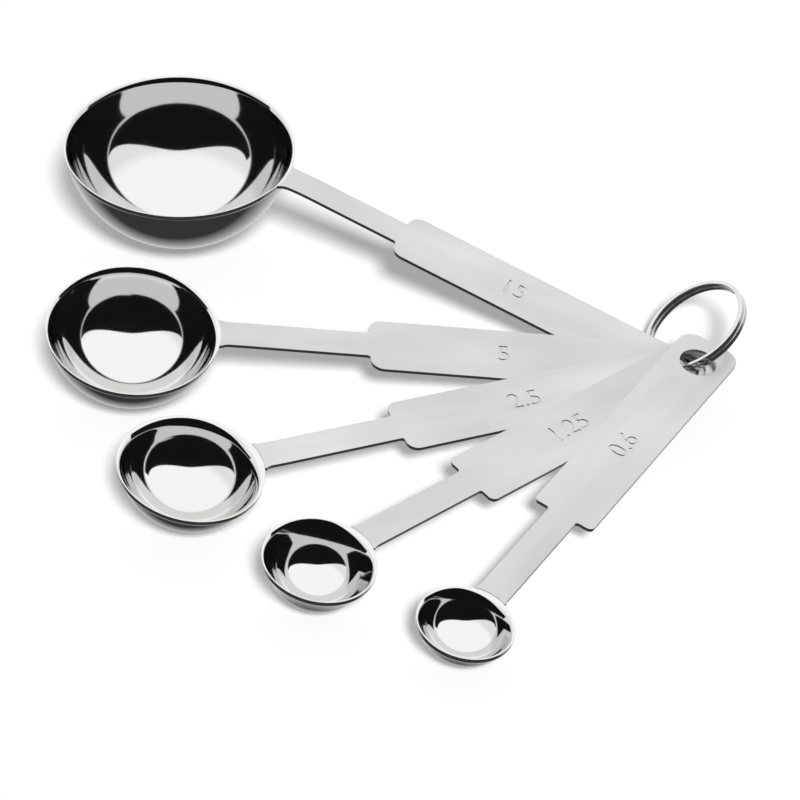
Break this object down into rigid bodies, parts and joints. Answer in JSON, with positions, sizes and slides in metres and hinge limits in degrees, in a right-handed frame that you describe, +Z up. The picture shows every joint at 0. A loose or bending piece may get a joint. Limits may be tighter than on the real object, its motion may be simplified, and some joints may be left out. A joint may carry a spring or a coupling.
{
  "type": "measuring spoon set",
  "caption": "Set of round measuring spoons in polished sheet steel, fanned on a split ring that passes through a hole in each flat handle; each spoon swings on the ring.",
  "frame": {"origin": "bottom centre of the whole set as it lies fanned out on a table", "axes": "+Z up from the table; the handles point to -X and the smaller spoons lie towards -Y"},
  "size_m": [0.1258, 0.1364, 0.0196],
  "materials": {
    "spoon_steel": "satin handles, mirror-polished bowls",
    "ring_steel": "polished spring wire"
  },
  "bodies": {
    "split_ring": {"split_ring": "ring_steel"},
    "tablespoon": {"tablespoon": "spoon_steel"},
    "teaspoon": {"teaspoon": "spoon_steel"},
    "half_teaspoon": {"half_teaspoon": "spoon_steel"},
    "quarter_teaspoon": {"quarter_teaspoon": "spoon_steel"},
    "eighth_teaspoon": {"eighth_teaspoon": "spoon_steel"}
  },
  "joints": [
    {"name": "tablespoon_swing", "type": "hinge", "parent": "split_ring", "child": "tablespoon", "pos_m": [0.04826, 0.016, 0.00212], "axis": [0, 0, 1], "range_deg": [-40, 2]},
    {"name": "teaspoon_swing", "type": "hinge", "parent": "split_ring", "child": "teaspoon", "pos_m": [0.05077, 0.01308, 0.00365], "axis": [0, 0, 1], "range_deg": [-2, 2]},
    {"name": "half_teaspoon_swing", "type": "hinge", "parent": "split_ring", "child": "half_teaspoon", "pos_m": [0.05224, 0.01216, 0.00464], "axis": [0, 0, 1], "range_deg": [-2, 2]},
    {"name": "quarter_teaspoon_swing", "type": "hinge", "parent": "split_ring", "child": "quarter_teaspoon", "pos_m": [0.05336, 0.01173, 0.00544], "axis": [0, 0, 1], "range_deg": [-3, 3]},
    {"name": "eighth_teaspoon_swing", "type": "hinge", "parent": "split_ring", "child": "eighth_teaspoon", "pos_m": [0.05502, 0.0115, 0.00666], "axis": [0, 0, 1], "range_deg": [-3, 40]}
  ]
}
